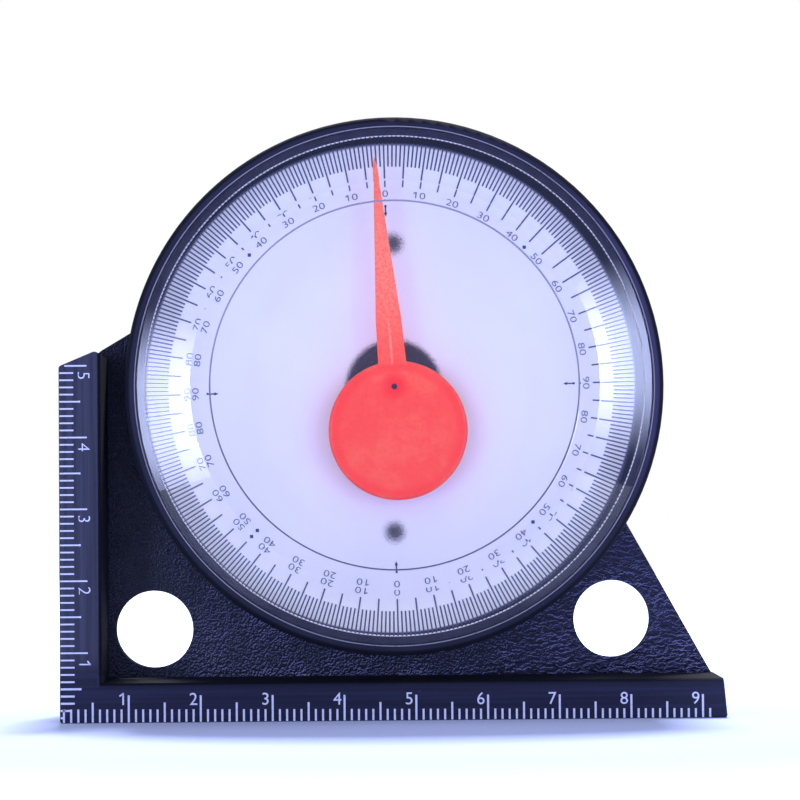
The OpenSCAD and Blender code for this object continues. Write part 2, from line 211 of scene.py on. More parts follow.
def new_group(name, inputs, outputs):
    """A node group with number inputs; returns it, its inputs' sockets and its outputs' sockets."""
    group = bpy.data.node_groups.new(name, "ShaderNodeTree")
    for label, value in inputs.items():
        socket = group.interface.new_socket(label, in_out="INPUT", socket_type="NodeSocketFloat")
        socket.default_value = value
    for label in outputs:
        group.interface.new_socket(label, in_out="OUTPUT", socket_type="NodeSocketFloat")
    return group, group.nodes.new("NodeGroupInput").outputs, group.nodes.new("NodeGroupOutput").inputs


def make_soft_patches():
    """Slow cloudy change over a surface, for colour and gloss."""
    group, given, made = new_group("soft_patches", {"Size": 10.0, "Low": 0.0, "High": 1.0}, ["Value"])
    cloud = add_node(group, "TexNoise", {"Vector": millimetres(group), "Detail": 3.0, "Roughness": 0.55,
                                         "Scale": calc(group, "DIVIDE", 1.0, given["Size"])})
    feed(group, made["Value"], step(group, cloud.outputs["Fac"], 0.3, 0.7, given["Low"], given["High"]))
    return group


def make_moulded_grain():
    """Fine even grain of a spark-eroded mould."""
    group, given, made = new_group("moulded_grain", {"Size": 0.2}, ["Height"])
    point = millimetres(group)
    scale = calc(group, "DIVIDE", 1.0, given["Size"])
    fine = add_node(group, "TexNoise", {"Vector": point, "Scale": scale, "Detail": 3.0, "Roughness": 0.6})
    pits = add_node(group, "TexVoronoi", {"Vector": point, "Scale": times(group, scale, 0.6)})
    feed(group, made["Height"], calc(group, "ADD", times(group, fine.outputs["Fac"], 0.7),
                                     times(group, pits.outputs["Distance"], 0.3)))
    return group


def leather_relief(group, point, scale, share):
    """Height of the leather texture at a point: round pebbles, or wrinkles that run across."""
    drift = add_node(group, "TexNoise", {"Vector": point, "Scale": times(group, scale, 0.5), "Detail": 2.0})
    bent = add_node(group, "VectorMath", {0: drift.outputs["Color"], "Scale": 0.9}, operation="SCALE")
    moved = shifted(group, point, bent.outputs["Vector"])
    pebbles = add_node(group, "TexVoronoi", {"Vector": moved, "Scale": times(group, scale, 1.5)})
    wrinkles = add_node(group, "TexNoise", {"Vector": stretched(group, moved, 2.1, 1.0, 1.0), "Scale": scale,
                                            "Detail": 2.0, "Roughness": 0.5, "Distortion": 0.5})
    folds = step(group, wrinkles.outputs["Fac"], 0.3, 0.7)
    return mix_number(group, share, calc(group, "SUBTRACT", 0.9, pebbles.outputs["Distance"]), folds)


def make_leather_grain():
    """Leather texture: pebbles on the left and wrinkles that run across on the right, with the
    share of each point that faces a light from above on the left."""
    group, given, made = new_group("leather_grain", {"Size": 1.0}, ["Height", "Lit"])
    point = millimetres(group)
    scale = calc(group, "DIVIDE", 1.0, given["Size"])
    share = step(group, coordinates(group, point)[0], 0.0, 32.0)
    above = shifted(group, point, (-0.045, 0.0, 0.09))
    here = leather_relief(group, point, scale, share)
    there = leather_relief(group, above, scale, share)
    feed(group, made["Height"], here)
    feed(group, made["Lit"], calc(group, "SUBTRACT", here, there))
    return group


def make_dust():
    """Sparse small specks: one in each cell of a share of the cells."""
    group, given, made = new_group("dust", {"Spacing": 3.0, "Share": 0.3, "Size": 0.1}, ["Mask"])
    scale = calc(group, "DIVIDE", 1.0, given["Spacing"])
    cells = add_node(group, "TexVoronoi", {"Vector": millimetres(group), "Scale": scale})
    chance = add_node(group, "SeparateColor", {"Color": cells.outputs["Color"]}).outputs["Red"]
    away = times(group, cells.outputs["Distance"], given["Spacing"])
    speck = step(group, calc(group, "DIVIDE", away, given["Size"]), 1.0, 0.5)
    feed(group, made["Mask"], times(group, speck, calc(group, "LESS_THAN", chance, given["Share"])))
    return group


def make_turned_rings():
    """Tool marks of a lathe: fine rings round an axis that runs front to back."""
    group, given, made = new_group("turned_rings", {"Pitch": 0.15, "Centre X": 0.0, "Centre Z": 0.0},
                                   ["Height"])
    point = millimetres(group)
    x, _, z = coordinates(group, point)
    away = distance(group, x, z, given["Centre X"], given["Centre Z"])
    wobble = times(group, noise(group, point, 0.6), 0.12)
    turns = calc(group, "DIVIDE", calc(group, "ADD", away, wobble), given["Pitch"])
    feed(group, made["Height"], calc(group, "SINE", times(group, turns, 2 * math.pi)))
    return group


soft_patches = make_soft_patches()
moulded_grain = make_moulded_grain()
leather_grain = make_leather_grain()
dust = make_dust()
turned_rings = make_turned_rings()


def place_group(tree, group, **values):
    """One of the shared effects with its own values; underscores in names stand for spaces."""
    made = add_node(tree, "Group", node_tree=group)
    for name, value in values.items():
        feed(tree, made.inputs[name.replace("_", " ")], value)
    return made.outputs


# ------------------------------------------------------------------ materials

COOL_TINT = (0.86, 0.9, 1.0, 1.0)


def new_material(name, **values):
    """A material on the Principled shader; returns it, its tree and the shader."""
    material = bpy.data.materials.new(name + "_finish")
    material.use_nodes = True
    tree = material.node_tree
    shader = tree.nodes["Principled BSDF"]
    for label, value in values.items():
        feed(tree, shader.inputs[label.replace("_", " ")], value)
    return material, tree, shader


def mix_surface(tree, share, first, second):
    """Two shaders mixed as the material's surface."""
    both = add_node(tree, "MixShader", {0: share, 1: first.outputs[0], 2: second.outputs[0]})
    feed(tree, tree.nodes["Material Output"].inputs["Surface"], both.outputs[0])


def bump(tree, height, depth):
    """A normal from a height map; depth in millimetres."""
    made = add_node(tree, "Bump", {"Height": height, "Strength": 1.0, "Distance": depth * MM})
    return made.outputs["Normal"]


def leather_colour(tree, x, lit):
    """Colour of the web: painted shade in the folds, painted highlights on crests that face the
    light, and the web painted darker towards the left, as shade of the side flange.
    """
    # Painted shade: the web darker towards the left.
    colour = mix_colour(tree, step(tree, x, -12.0, 40.0), paint(6, 6, 21), paint(21, 21, 60))
    # Painted shade in the folds.
    colour = mix_colour(tree, step(tree, lit, -0.02, -0.1), colour, paint(1, 1, 6))
    lit = times(tree, lit, step(tree, x, -5.0, 30.0, 1.35, 1.0))
    cloud = place_group(tree, soft_patches, Size=5.0, Low=0.35, High=1.0)["Value"]
    share = times(tree, cloud, step(tree, x, -36.0, -16.0, 0.1, 0.9), step(tree, x, 2.0, 26.0, 1.0, 0.6))
    # Painted highlights on the crests that face the light.
    return mix_colour(tree, times(tree, step(tree, lit, 0.1, 0.17), share), colour, paint(143, 145, 208))


def frame_plastic():
    """Black-blue moulding: leather grain on the web with painted highlights and painted shade,
    satin printed strips with the side strip painted lighter as sheen, pocket walls painted
    darker as shade, a smooth rim painted lighter towards the top with a painted highlight low on
    the right, a painted shade line round the drum's edge, and a glossy bore that mirrors the
    dial's edge."""
    material, tree, shader = new_material("frame_plastic", Specular_IOR_Level=0.32,
                                          Specular_Tint=COOL_TINT)
    point = millimetres(tree)
    x, y, z = coordinates(tree, point)
    facing = coordinates(tree, add_node(tree, "TexCoord").outputs["Normal"])[1]
    front, drum, middle = front_y / MM, DRUM_RADIUS / MM, axis_z / MM
    web_back = front + (WEB_RECESS + WEB_THICKNESS) / MM
    side_end = (left_x + SIDE_WIDTH) / MM
    from_axis = distance(tree, x, z, axis_x / MM, middle)

    flat = step(tree, calc(tree, "ABSOLUTE", facing), 0.8, 0.95)
    off_drum = step(tree, from_axis, drum - 0.2, drum + 0.2)
    near = step(tree, y, front + 1.6, front + 1.0)
    inside = zone(tree, y, front + 5, front + 6, web_back + 1, web_back + 2)
    web = times(tree, flat, inside, off_drum)
    strips = times(tree, flat, off_drum, near)
    on_side = times(tree, step(tree, x, side_end, side_end - 1), step(tree, z, 5.5, 10.0))
    # Faces that look neither front nor back are painted darker than the front faces: painted shade of the
    # pockets and sides.
    walls = times(tree, calc(tree, "SUBTRACT", 1.0, flat), step(tree, from_axis, drum + 0.3, drum + 0.6))
    low_wall = zone(tree, z, 4.0, 5.0, 6.0, 7.0)
    rim = times(tree, near, calc(tree, "SUBTRACT", 1.0, off_drum))
    rim_side_highlight = times(tree, step(tree, x, 18.0, 36.0), step(tree, z, middle - 22, middle - 4))
    # A dark ring round the drum's outer edge and onto the web: a painted shade line where the drum meets the
    # web.
    edge = zone(tree, from_axis, drum - 0.9, drum - 0.4, drum + 0.3, drum + 0.6)
    bore = step(tree, from_axis, DRUM_BORE / MM + 0.3, DRUM_BORE / MM + 0.1)

    leather = place_group(tree, leather_grain, Size=0.5)
    grain = place_group(tree, moulded_grain, Size=0.22)["Height"]
    base_streaks = noise(tree, stretched(tree, point, 30, 1, 0.5), 1.0, 3.0)
    side_streaks = noise(tree, stretched(tree, point, 0.5, 1, 30), 1.0, 3.0)
    streaks = step(tree, mix_number(tree, on_side, base_streaks, side_streaks), 0.35, 0.7)
    cloud = place_group(tree, soft_patches, Size=14.0, Low=0.0, High=1.0)["Value"]
    specks = place_group(tree, dust, Spacing=1.7, Share=0.3, Size=0.1)["Mask"]

    base_strip = mix_colour(tree, streaks, paint(16, 17, 44), paint(27, 29, 63))
    # The side strip is painted lighter than the base strip of the same plastic: painted sheen.
    side_strip = mix_colour(tree, streaks, paint(44, 46, 66), paint(57, 58, 84))
    # The rim is painted darker towards the bottom and lighter towards the top, with a painted highlight low
    # on the right.
    rim_colour = mix_colour(tree, step(tree, z, middle - 32, middle), paint(8, 9, 27), paint(20, 22, 45))
    rim_colour = mix_colour(tree, rim_side_highlight, rim_colour, paint(46, 44, 80))
    rim_colour = mix_colour(tree, times(tree, cloud, 0.15), rim_colour, paint(60, 60, 100))
    colour = mix_colour(tree, cloud, paint(20, 22, 44), paint(26, 29, 54))
    # The dark walls and the drum's edge line here are painted shade, and the lighter side strip is painted
    # sheen.
    for share, over in ((walls, paint(9, 9, 20)),
                        (web, leather_colour(tree, x, leather["Lit"])),
                        (strips, mix_colour(tree, on_side, base_strip, side_strip)),
                        (rim, rim_colour),
                        # Painted shade line round the drum's edge.
                        (edge, paint(5, 5, 22)),
                        (bore, paint(34, 36, 66)),
                        (times(tree, specks, 0.45), paint(110, 115, 165))):
        colour = mix_colour(tree, share, colour, over)
    feed(tree, shader.inputs["Base Color"], colour)

    base_top = step(tree, x, 22.0, 34.0, 0.6, 0.95)
    gloss = mix_number(tree, web, 0.45, 0.33)
    for share, over in ((strips, step(tree, streaks, 0.0, 1.0, 0.36, 0.44)),
                        (walls, mix_number(tree, low_wall, 0.98, base_top)),
                        (edge, 0.9),
                        (bore, 0.28)):
        gloss = mix_number(tree, share, gloss, over)
    feed(tree, shader.inputs["Roughness"], gloss)

    height = mix_number(tree, web, times(tree, grain, 0.03), leather["Height"])
    height = mix_number(tree, strips, height, times(tree, streaks, 0.02))
    feed(tree, shader.inputs["Normal"], bump(tree, height, 0.055))
    return material


def cover_plastic():
    """Fine-grained black moulding of the rear cover."""
    material, tree, shader = new_material("cover_plastic", Specular_IOR_Level=0.35,
                                          Specular_Tint=COOL_TINT)
    cloud = place_group(tree, soft_patches, Size=9.0, Low=0.0, High=1.0)["Value"]
    feed(tree, shader.inputs["Base Color"], mix_colour(tree, cloud, paint(15, 16, 32), paint(21, 22, 41)))
    feed(tree, shader.inputs["Roughness"], step(tree, cloud, 0.0, 1.0, 0.42, 0.55))
    grain = place_group(tree, moulded_grain, Size=0.35)["Height"]
    feed(tree, shader.inputs["Normal"], bump(tree, grain, 0.05))
    return material


def clear_lens():
    """Polished clear moulding; lamps shine straight through it."""
    material, tree, shader = new_material("lens_clear", Base_Color=paint(250, 250, 255), Roughness=0.0,
                                          IOR=1.49, Transmission_Weight=1.0)
    path = add_node(tree, "LightPath")
    straight = calc(tree, "MAXIMUM", path.outputs["Is Shadow Ray"], path.outputs["Is Diffuse Ray"])
    mix_surface(tree, straight, shader, add_node(tree, "BsdfTransparent"))
    return material


def dial_white():
    """Bluish white translucent sheet; the boss and the posts behind it show as dark blurred spots."""
    material, tree, shader = new_material("dial_white", Roughness=0.5, Specular_IOR_Level=0.3)
    point = millimetres(tree)
    x, _, z = coordinates(tree, point)
    speckle = calc(tree, "SUBTRACT", noise(tree, point, 0.16, 3.0, 0.8), 0.5)

    def spot(up, radius, blur):
        """A blurred dark spot at a height above the pivot."""
        away = distance(tree, x, z, pivot.x / MM, pivot.z / MM + up)
        rough = calc(tree, "ADD", away, times(tree, speckle, blur * 6))
        return step(tree, rough, radius + blur, radius - blur)

    boss = spot(0.0, BOSS_RADIUS / MM, 0.45)
    posts = calc(tree, "MAXIMUM", *(spot(side * POST_DISTANCE / MM, POST_RADIUS / MM - 0.2, 0.7)
                                    for side in (1, -1)))
    dark = calc(tree, "MAXIMUM", boss, times(tree, posts, 0.96))
    dark = times(tree, dark, step(tree, speckle, 0.2, -0.1, 0.86, 1.0))

    cloud = place_group(tree, soft_patches, Size=16.0, Low=0.0, High=1.0)["Value"]
    motes = place_group(tree, dust, Spacing=4.0, Share=0.35, Size=0.1)["Mask"]
    middle, reach = axis_z / MM, (dial_high.x - dial_low.x) / 2 / MM
    from_middle = distance(tree, x, z, dial_x / MM, dial_z / MM)
    shade_width = step(tree, z, middle - 14, middle + 8, 0.35, 0.5)
    shade = step(tree, calc(tree, "SUBTRACT", from_middle, reach - 0.62), 0.0, shade_width)
    sheet = mix_colour(tree, cloud, paint(239, 237, 249), paint(244, 242, 252))
    for share, over in ((step(tree, from_middle, reach - 6, reach - 3), paint(252, 251, 254)),
                        (shade, paint(36, 38, 76)),
                        (times(tree, motes, 0.25), paint(120, 120, 170)),
                        (dark, paint(8, 3, 12))):
        sheet = mix_colour(tree, share, sheet, over)
    feed(tree, shader.inputs["Base Color"], sheet)
    feed(tree, shader.inputs["Roughness"], step(tree, cloud, 0.0, 1.0, 0.45, 0.55))
    grain = place_group(tree, moulded_grain, Size=0.4)["Height"]
    feed(tree, shader.inputs["Normal"], bump(tree, grain, 0.01))
    return material


def printed_ink(name, colour, worn, roughness=0.55):
    """Printed or stamped lines, a little thin in places; also a painted highlight line at the lens's edge.
    """
    material, tree, shader = new_material(name, Specular_IOR_Level=0.3)
    thin = step(tree, noise(tree, millimetres(tree), 0.35, 3.0), 0.5, 0.8)
    feed(tree, shader.inputs["Base Color"], mix_colour(tree, thin, colour, worn))
    feed(tree, shader.inputs["Roughness"], step(tree, thin, 0.0, 1.0, roughness, roughness + 0.15))
    return material


def ruler_ink():
    """Hot-stamped pale foil; the side ruler's lines are thin at their edges."""
    material, tree, shader = new_material("ruler_ink", Specular_IOR_Level=0.3)
    point = millimetres(tree)
    x, _, z = coordinates(tree, point)
    thin = step(tree, noise(tree, point, 0.35, 3.0), 0.5, 0.8)
    colour = mix_colour(tree, thin, paint(206, 212, 252), paint(176, 182, 232))
    up = calc(tree, "SUBTRACT", z, side_zero_z / MM)
    from_line = calc(tree, "PINGPONG", up, 0.5)
    from_long = calc(tree, "PINGPONG", up, 5.0)
    left = left_x / MM
    short = step(tree, x, left + 2.76, left + 2.74)
    lines = calc(tree, "MAXIMUM", short, calc(tree, "LESS_THAN", from_long, 0.3))
    lines = times(tree, lines, step(tree, z, 5.6, 5.8), step(tree, x, left + 5.0, left + 4.9))
    worn = times(tree, lines, step(tree, from_line, 0.07, 0.13, 0.0, 0.85))
    feed(tree, shader.inputs["Base Color"], mix_colour(tree, worn, colour, paint(62, 66, 102)))
    feed(tree, shader.inputs["Roughness"], step(tree, thin, 0.0, 1.0, 0.4, 0.55))
    return material


def window_line():
    """Slate colour of the fine dark ring in the window's corner, a painted shade line, darker below than
    above.
    """
    material, tree, shader = new_material("window_line", Specular_IOR_Level=0.2)
    z = coordinates(tree)[2]
    worn = calc(tree, "ADD", noise(tree, millimetres(tree), 2.5, 2.0), -0.5)
    up = calc(tree, "SUBTRACT", z, axis_z / MM)
    height = calc(tree, "ADD", calc(tree, "DIVIDE", up, WINDOW_RADIUS / MM), worn)
    feed(tree, shader.inputs["Base Color"], mix_colour(tree, step(tree, height, -0.6, 0.5),
                                                       paint(84, 84, 108), paint(142, 140, 166)))
    feed(tree, shader.inputs["Roughness"], step(tree, worn, -0.2, 0.2, 0.5, 0.7))
    return material


def pointer_red():
    """Fluorescent red moulding: deepest round the pivot, paler along the thin needle, with a painted
    highlight line along the needle's middle and a faint painted glow in emission. Light that
    passes through it tints the dial pink."""
    material, tree, shader = new_material("pointer_red", Specular_IOR_Level=0.4, Subsurface_Weight=0.3,
                                          Subsurface_Radius=(1.0, 0.3, 0.25), Subsurface_Scale=0.5 * MM,
                                          Emission_Strength=0.2)
    point = millimetres(tree)
    x, _, z = coordinates(tree, point)
    pivot_x, pivot_z, drop = pivot.x / MM, pivot.z / MM, CAP_DROP / MM
    lean_x, lean_z = math.sin(POINTER_LEAN), math.cos(POINTER_LEAN)
    from_pivot = distance(tree, x, z, pivot_x, pivot_z)
    from_cap = distance(tree, x, z, pivot_x + drop * lean_x, pivot_z - drop * lean_z)
    right = calc(tree, "SUBTRACT", x, pivot_x)
    up = calc(tree, "SUBTRACT", z, pivot_z)
    across = calc(tree, "ADD", times(tree, right, lean_z), times(tree, up, lean_x))
    # A pale line along the middle of the needle near the cap: a painted highlight of its ridge.
    ridge_highlight = times(tree, step(tree, calc(tree, "ABSOLUTE", across), 0.25, 0.05),
                  zone(tree, up, 2.6, 4.0, 6.0, 12.0))
    band = zone(tree, from_cap, 7.9, 8.8, 9.2, 9.5)
    mottle = noise(tree, point, 0.42, 3.0, 0.8)
    patch = noise(tree, point, 4.5, 2.0)

    deep, body, pale = paint(255, 24, 8), paint(255, 88, 58), paint(255, 126, 98)
    colour = deep
    for share, over in ((step(tree, from_pivot, 0.7, 2.6), body),
                        (step(tree, patch, 0.42, 0.62, 0.0, 0.42), deep),
                        (times(tree, band, 0.5), deep),
                        (step(tree, up, 4.0, 14.0), pale),
                        (times(tree, ridge_highlight, 0.5), paint(255, 170, 150)),
                        (step(tree, mottle, 0.46, 0.58, 0.0, 0.42), deep)):
        colour = mix_colour(tree, share, colour, over)
    feed(tree, shader.inputs["Base Color"], colour)
    # Emission in the moulding's own colour: a faint painted glow for its fluorescence.
    feed(tree, shader.inputs["Emission Color"], colour)
    cloud = place_group(tree, soft_patches, Size=5.0, Low=0.32, High=0.45)["Value"]
    feed(tree, shader.inputs["Roughness"], cloud)
    grain = place_group(tree, moulded_grain, Size=0.25)["Height"]
    feed(tree, shader.inputs["Normal"], bump(tree, grain, 0.02))

    under_cap, under_needle = (1.0, 0.6, 0.84, 1.0), (1.0, 0.8, 0.93, 1.0)
    tint = mix_colour(tree, step(tree, up, 3.0, 8.0), under_cap, under_needle)
    shadow = times(tree, add_node(tree, "LightPath").outputs["Is Shadow Ray"], 0.9)
    mix_surface(tree, shadow, shader, add_node(tree, "BsdfTransparent", {"Color": tint}))
    return material


def turned_metal(name, colour, pitch, roughness):
    """Lathe-turned metal with fine rings round the drum's axis."""
    material, tree, shader = new_material(name, Metallic=1.0)
    rings = place_group(tree, turned_rings, Pitch=pitch, Centre_X=pivot.x / MM,
                        Centre_Z=pivot.z / MM)["Height"]
    tone = place_group(tree, soft_patches, Size=1.5, Low=0.0, High=1.0)["Value"]
    darker = tuple(value * 0.75 for value in colour[:3]) + (1.0,)
    feed(tree, shader.inputs["Base Color"], mix_colour(tree, tone, darker, colour))
    feed(tree, shader.inputs["Roughness"], step(tree, tone, 0.0, 1.0, roughness, roughness + 0.1))
    feed(tree, shader.inputs["Normal"], bump(tree, rings, 0.004))
    return material


def plated_steel(name, colour, roughness=0.35):
    """Zinc-plated pressed or rolled steel, slightly cloudy."""
    material, tree, shader = new_material(name, Metallic=1.0)
    tone = place_group(tree, soft_patches, Size=0.9, Low=0.0, High=1.0)["Value"]
    darker = tuple(value * 0.7 for value in colour[:3]) + (1.0,)
    feed(tree, shader.inputs["Base Color"], mix_colour(tree, tone, darker, colour))
    feed(tree, shader.inputs["Roughness"], step(tree, tone, 0.0, 1.0, roughness, roughness + 0.15))
    grain = place_group(tree, moulded_grain, Size=0.15)["Height"]
    feed(tree, shader.inputs["Normal"], bump(tree, grain, 0.008))
    return material


def soft_matte(name, first, second, size, roughness):
    """Rubber, glue, nylon and ferrite: a matte surface with cloudy tone and a fine grain."""
    material, tree, shader = new_material(name, Specular_IOR_Level=0.35)
    tone = place_group(tree, soft_patches, Size=size, Low=0.0, High=1.0)["Value"]
    feed(tree, shader.inputs["Base Color"], mix_colour(tree, tone, first, second))
    feed(tree, shader.inputs["Roughness"], step(tree, tone, 0.0, 1.0, roughness - 0.08, roughness))
    grain = place_group(tree, moulded_grain, Size=size / 8)["Height"]
    feed(tree, shader.inputs["Normal"], bump(tree, grain, 0.02))
    return material


finishes = {
    "frame_plastic": frame_plastic(),
    "cover_plastic": cover_plastic(),
    "screw_steel": plated_steel("screw_steel", paint(200, 202, 208)),
    "lens_clear": clear_lens(),
    "seal_rubber": soft_matte("seal_rubber", paint(26, 26, 50), paint(36, 36, 62), 2.0, 0.45),
    "dial_white": dial_white(),
    "adhesive": soft_matte("adhesive", paint(70, 68, 92), paint(90, 88, 112), 1.0, 0.6),
    "dial_ink": printed_ink("dial_ink", paint(74, 78, 120), paint(100, 104, 150)),
    "window_line": window_line(),
    # A pale ring standing for the highlight of the lens's edge: painted highlight.
    "pale_edge_highlight": printed_ink("pale_edge_highlight", paint(136, 134, 158), paint(86, 85, 112), 0.5),
    "index_ink": printed_ink("index_ink", paint(48, 50, 96), paint(70, 74, 124)),
    "pin_steel": turned_metal("pin_steel", paint(70, 70, 84), 0.1, 0.4),
    "washer_nylon": soft_matte("washer_nylon", paint(220, 216, 200), paint(232, 229, 216), 1.0, 0.5),
    "pointer_red": pointer_red(),
    "weight_steel": turned_metal("weight_steel", paint(172, 174, 180), 0.25, 0.35),
    "bush_brass": turned_metal("bush_brass", paint(214, 178, 104), 0.12, 0.28),
    "ruler_ink": ruler_ink(),
    "magnet_ferrite": soft_matte("magnet_ferrite", paint(48, 48, 52), paint(68, 68, 72), 3.0, 0.6),
    "backing_steel": plated_steel("backing_steel", paint(180, 182, 188)),
}

for piece in cad.values():
    for slot in piece.material_slots:
        slot.material = finishes[slot.material.name]


# ------------------------------------------------------------------ modelling

def deselect_everything():
    """Leaves edit mode and clears the selection, so that the next tool acts on its own piece."""
    if bpy.context.mode != "OBJECT":
        bpy.ops.object.mode_set(mode="OBJECT")
    bpy.ops.object.select_all(action="DESELECT")


def name_piece(name):
    """Names the object that a tool has just made, and its mesh."""
    piece = bpy.context.object
    piece.name = name
    piece.data.name = name
    return piece


def select_only(piece):
    """Selects one piece and makes it active."""
    deselect_everything()
    piece.select_set(True)
    bpy.context.view_layer.objects.active = piece


def apply_place(piece):
    """Puts the object at the origin, with its place in its mesh."""
    select_only(piece)
    bpy.ops.object.transform_apply(location=True, rotation=True, scale=True)


def close_up(piece, merge=0.002 * MM):
    """Merges doubled points and turns all faces outwards."""
    apply_place(piece)
    bpy.ops.object.mode_set(mode="EDIT")
    bpy.ops.mesh.select_all(action="SELECT")
    bpy.ops.mesh.remove_doubles(threshold=merge)
    bpy.ops.mesh.normals_make_consistent(inside=False)
    bpy.ops.object.mode_set(mode="OBJECT")


def smooth(piece, degrees):
    """Smooth shading across edges that bend by less than an angle."""
    select_only(piece)
    bpy.ops.object.shade_smooth_by_angle(angle=math.radians(degrees))


def finish_piece(piece, body, slot, *nodes, finish=None):
    """Gives a piece its material and its body, and hides the nodes it stands for. The material is
    the slot's own, unless a finish is named."""
    piece.data.materials.clear()
    piece.data.materials.append(finishes[finish or slot])
    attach(piece, body)
    if nodes:
        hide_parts(*nodes)


def add_circle(name, centre_x, centre_z, radius, depth, fill):
    """A circle on an axis that runs front to back, left in edit mode."""
    deselect_everything()
    bpy.ops.mesh.primitive_circle_add(vertices=ROUND_SIDES, radius=radius, fill_type=fill,
                                      location=(centre_x, depth, centre_z),
                                      rotation=(math.radians(90), 0, 0))
    piece = name_piece(name)
    apply_place(piece)
    bpy.ops.object.mode_set(mode="EDIT")
    return piece


def extrude_edges(centre_x, centre_z, stations):
    """Extrudes the selected circle to each next radius and depth in turn."""
    for (radius, depth), (next_radius, next_depth) in zip(stations, stations[1:]):
        bpy.ops.mesh.extrude_edges_move(
            TRANSFORM_OT_translate={"value": (0, next_depth - depth, 0)})
        share = next_radius / radius
        bpy.ops.transform.resize(value=(share, 1, share),
                                 center_override=(centre_x, next_depth, centre_z))


def turned(name, centre_x, centre_z, stations):
    """A round solid: a disc at the first station, extruded through the others and closed."""
    piece = add_circle(name, centre_x, centre_z, *stations[0], "NGON")
    bpy.ops.mesh.select_all(action="DESELECT")
    bpy.ops.mesh.select_mode(type="EDGE")
    bpy.ops.mesh.select_non_manifold()
    extrude_edges(centre_x, centre_z, stations)
    bpy.ops.mesh.edge_face_add()
    close_up(piece)
    return piece


def turned_ring(name, centre_x, centre_z, section):
    """A ring: a circle extruded round its section, back to where it began."""
    ring = add_circle(name, centre_x, centre_z, *section[0], "NOTHING")
    bpy.ops.mesh.select_all(action="SELECT")
    extrude_edges(centre_x, centre_z, section + section[:1])
    close_up(ring)
    return ring


def model_lens():
    """Stepped lens: a flange, a small raised edge, a sloped zone and a window cored from behind."""
    radius = (lens_high.x - lens_low.x) / 2
    slope = math.tan(math.radians(14.5))
    spigot = DRUM_BORE - 0.1 * MM
    raised, step_up, edge_break = 35.0 * MM, 0.5 * MM, 0.2 * MM
    slope_start = 28.5 * MM
    bevel = 0.3 * edge_break
    shoulder = raised - edge_break
    seat_y = front_y + LENS_FLANGE

    def slope_y(at):
        return front_y - (radius - at) * slope

    stations = [
        (WINDOW_RADIUS, lens_low.y + WINDOW_THICKNESS),
        (WINDOW_RADIUS, lens_high.y),
        (spigot, lens_high.y),
        (spigot, seat_y),
        (radius, seat_y),
        (radius, front_y + edge_break),
        (radius - bevel, front_y + bevel),
        (radius - edge_break, slope_y(radius - edge_break)),
        (raised, slope_y(raised)),
        (raised, slope_y(raised) - step_up + edge_break),
        (raised - bevel, slope_y(raised) - step_up + bevel),
        (shoulder, slope_y(shoulder) - step_up),
        (slope_start, lens_low.y),
    ]
    lens = turned("lens_moulding", axis_x, axis_z, stations)
    smooth(lens, 10)
    finish_piece(lens, "body", "lens_clear", "lens")


def model_lens_bead():
    """A fine pale ring where the lens meets the drum: a painted highlight of the lens's edge."""
    inner, outer, deep, proud = 36.27 * MM, 36.41 * MM, 0.1 * MM, 0.02 * MM
    section = [(inner, front_y - proud), (outer, front_y - proud),
               (outer, front_y + deep), (inner, front_y + deep)]
    bead = turned_ring("lens_edge_highlight_ring", axis_x, axis_z, section)
    smooth(bead, 30)
    finish_piece(bead, "body", "lens_clear", finish="pale_edge_highlight")


def model_window_line():
    """A fine dark ring in the corner of the window's core, seen through the lens: painted shade
    standing for the dark line at the lens's step.
    """
    outer, wide, thick = 25.88 * MM, 0.21 * MM, 0.06 * MM
    near_y = lens_low.y + WINDOW_THICKNESS + 0.02 * MM
    far_y = near_y + thick
    section = [(outer - wide, near_y), (outer, near_y), (outer, far_y), (outer - wide, far_y)]
    ring = turned_ring("window_corner_line", axis_x - 0.04 * MM, axis_z + 0.06 * MM, section)
    finish_piece(ring, "body", "dial_ink", finish="window_line")


def corners(piece):
    """The lowest and highest corner of a piece's box."""
    points = [vertex.co for vertex in piece.data.vertices]
    low = Vector(min(point[i] for point in points) for i in range(3))
    high = Vector(max(point[i] for point in points) for i in range(3))
    return low, high


def add_flag(letters, low, high):
    """The short slanted stroke at the head of a 1."""
    tall = high.y - low.y
    bpy.ops.mesh.primitive_cube_add(size=1, location=(low.x - 0.09 * tall, high.y - 0.17 * tall,
                                                      (low.z + high.z) / 2),
                                    rotation=(0, 0, math.radians(36)),
                                    scale=(0.36 * tall, 0.115 * tall, high.z - low.z))
    flag = bpy.context.object
    apply_place(flag)
    letters.select_set(True)
    bpy.context.view_layer.objects.active = letters
    bpy.ops.object.join()
    return letters


def place_number(text, height, width_share, thinner, centre, turn, depth):
    """Digits as a thin mesh facing the front, centred on a point and turned in the dial's plane."""
    deselect_everything()
    bpy.ops.object.text_add()
    letters = bpy.context.object
    letters.data.body = text
    letters.data.align_x = "CENTER"
    letters.data.align_y = "CENTER"
    letters.data.offset = -thinner
    letters.data.resolution_u = 6
    letters.data.extrude = 0.02
    bpy.ops.object.convert(target="MESH")
    low, high = corners(letters)
    if text.startswith("1"):
        letters = add_flag(letters, low, high)
        low, high = corners(letters)
    size = height / (high.y - low.y)
    middle = (low + high) / 2
    grow = Matrix.Diagonal((size * width_share, size, depth / (high.z - low.z), 1.0))
    upright = Matrix.Rotation(math.radians(90), 4, "X")
    turned_round = Matrix.Rotation(-turn, 4, "Y")
    place = Matrix.Translation(centre)
    letters.data.transform(place @ turned_round @ upright @ grow @ Matrix.Translation(-middle))
    return letters


